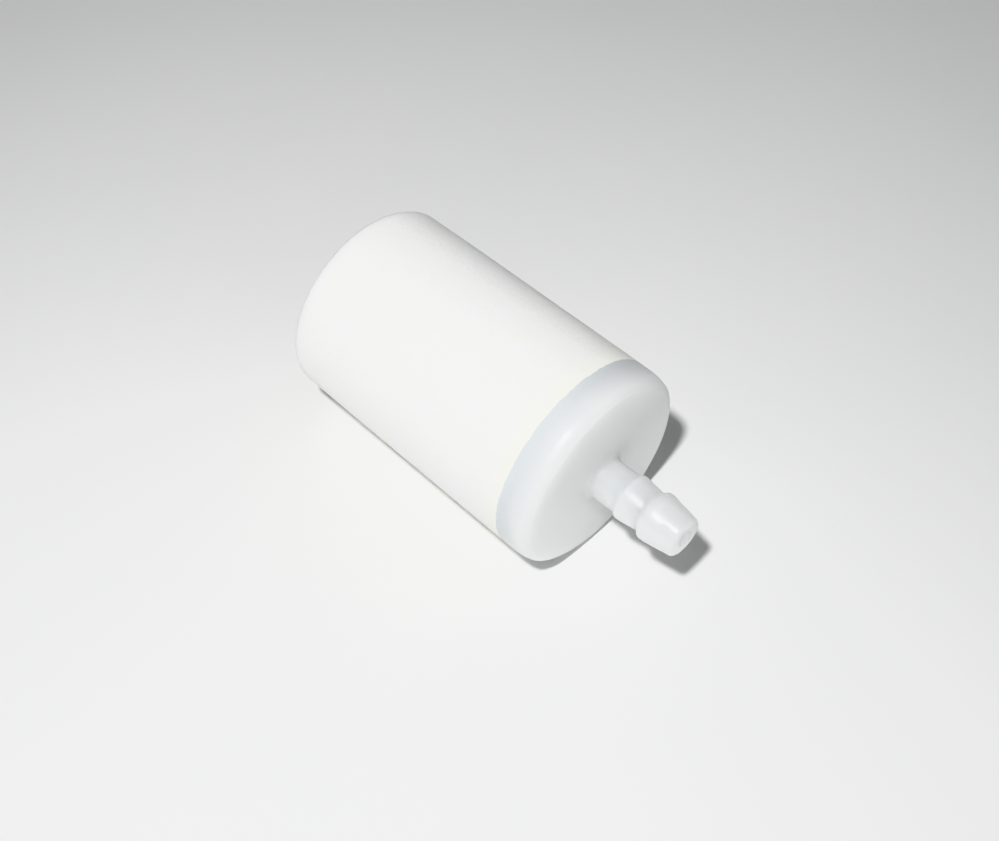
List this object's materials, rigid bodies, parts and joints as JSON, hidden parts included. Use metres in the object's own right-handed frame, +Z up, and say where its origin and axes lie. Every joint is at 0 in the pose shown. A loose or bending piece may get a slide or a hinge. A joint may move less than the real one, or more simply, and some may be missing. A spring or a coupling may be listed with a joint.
{
  "type": "fuel pick-up filter",
  "caption": "In-tank fuel pick-up filter: closed porous white cup with a translucent end cap and a barbed hose nipple.",
  "frame": {"origin": "centre of the flat closed end of the cup", "axes": "+X along the filter's axis towards the tip of the hose nipple, +Z up with the filter lying on its side"},
  "size_m": [0.0397, 0.02, 0.02],
  "materials": {
    "porous_plastic": "sintered, matt, fine open grain",
    "natural_plastic": "moulded, translucent, satin",
    "steel": "turned"
  },
  "bodies": {
    "root": {"filter_cup": "porous_plastic", "end_cap": "natural_plastic", "sinker_weight": "steel"}
  },
  "joints": []
}
